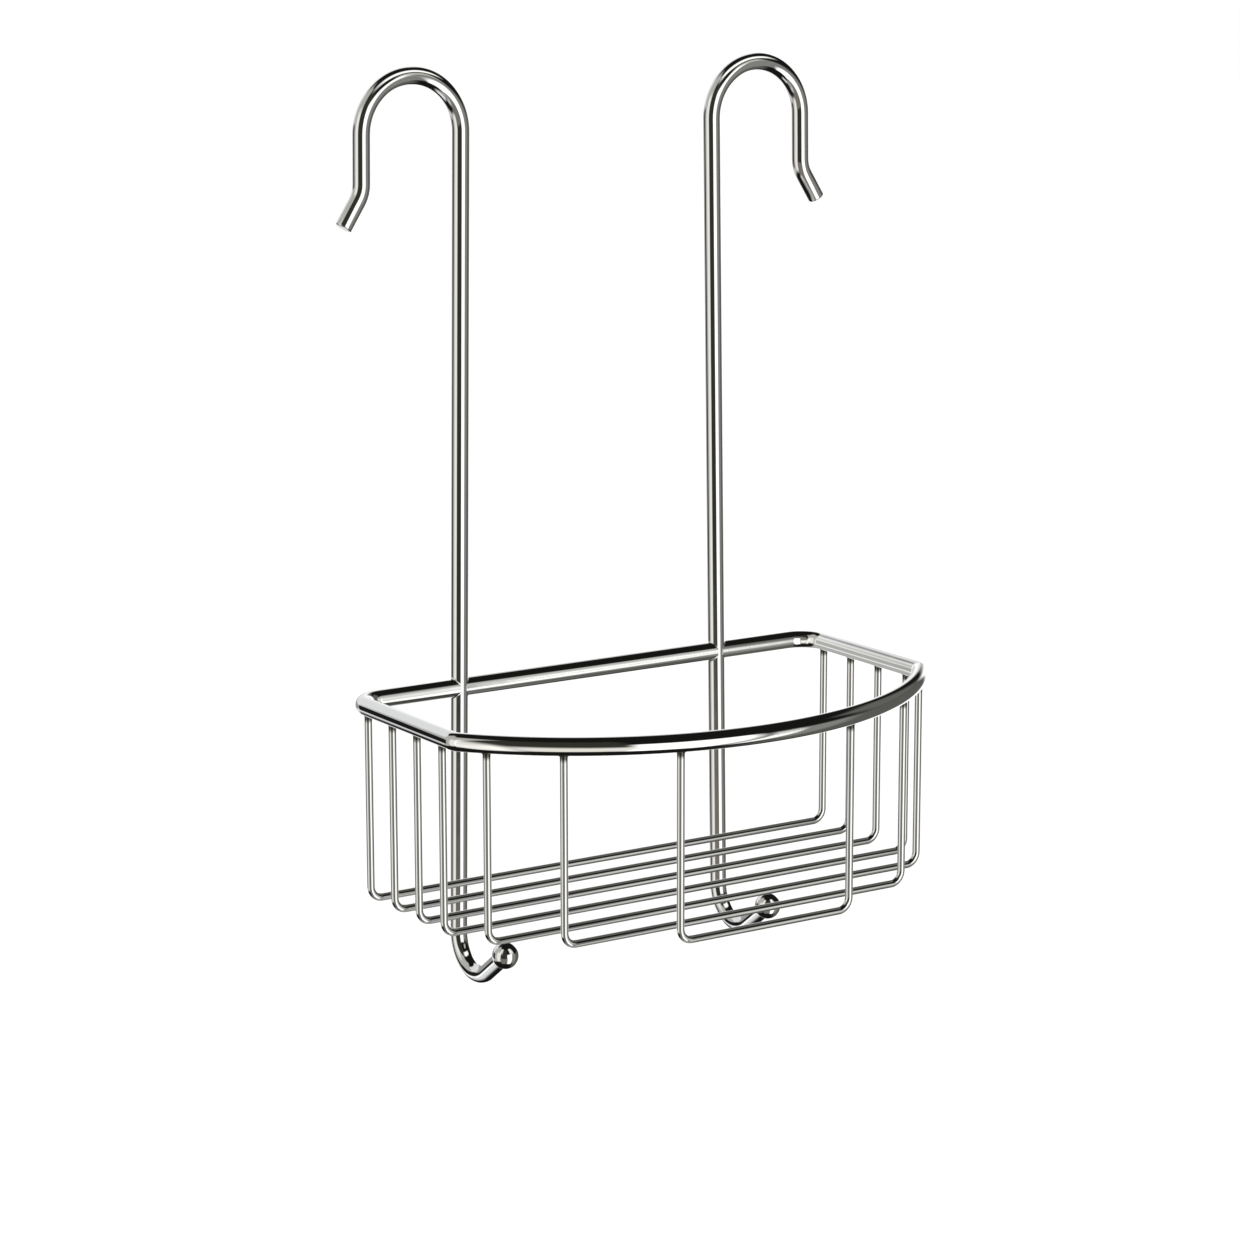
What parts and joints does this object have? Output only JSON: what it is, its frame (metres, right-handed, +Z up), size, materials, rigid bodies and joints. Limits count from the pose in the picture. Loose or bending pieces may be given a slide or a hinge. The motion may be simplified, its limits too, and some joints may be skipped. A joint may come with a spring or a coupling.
{
  "type": "shower caddy",
  "caption": "Chromed wire shower caddy: a D-shaped basket on hanger rods that hook over the wall unions of a bar mixer, with ball-tipped hooks under its floor.",
  "frame": {"origin": "midway between the centres of the two upper hook bends, where the axes of the two wall unions pass", "axes": "+X to the right seen from the front, +Y towards the wall, +Z up; the bowed front faces -Y"},
  "size_m": [0.2116, 0.1281, 0.3386],
  "materials": {
    "hanger_chrome": "bright chrome plate on bent rod",
    "rim_chrome": "bright chrome plate on bent rod",
    "wire_chrome": "bright chrome plate on drawn wire",
    "ball_chrome": "bright chrome plate on a turned ball"
  },
  "bodies": {
    "root": {"hanger_rod_left": "hanger_chrome", "hanger_rod_right": "hanger_chrome", "hook_ball_left": "ball_chrome", "hook_ball_right": "ball_chrome", "rim_bow": "rim_chrome", "rear_bar": "rim_chrome", "basket_wire_1": "wire_chrome", "basket_wire_2": "wire_chrome", "basket_wire_3": "wire_chrome", "basket_wire_4": "wire_chrome", "basket_wire_5": "wire_chrome", "basket_wire_6": "wire_chrome", "basket_wire_7": "wire_chrome"}
  },
  "joints": []
}
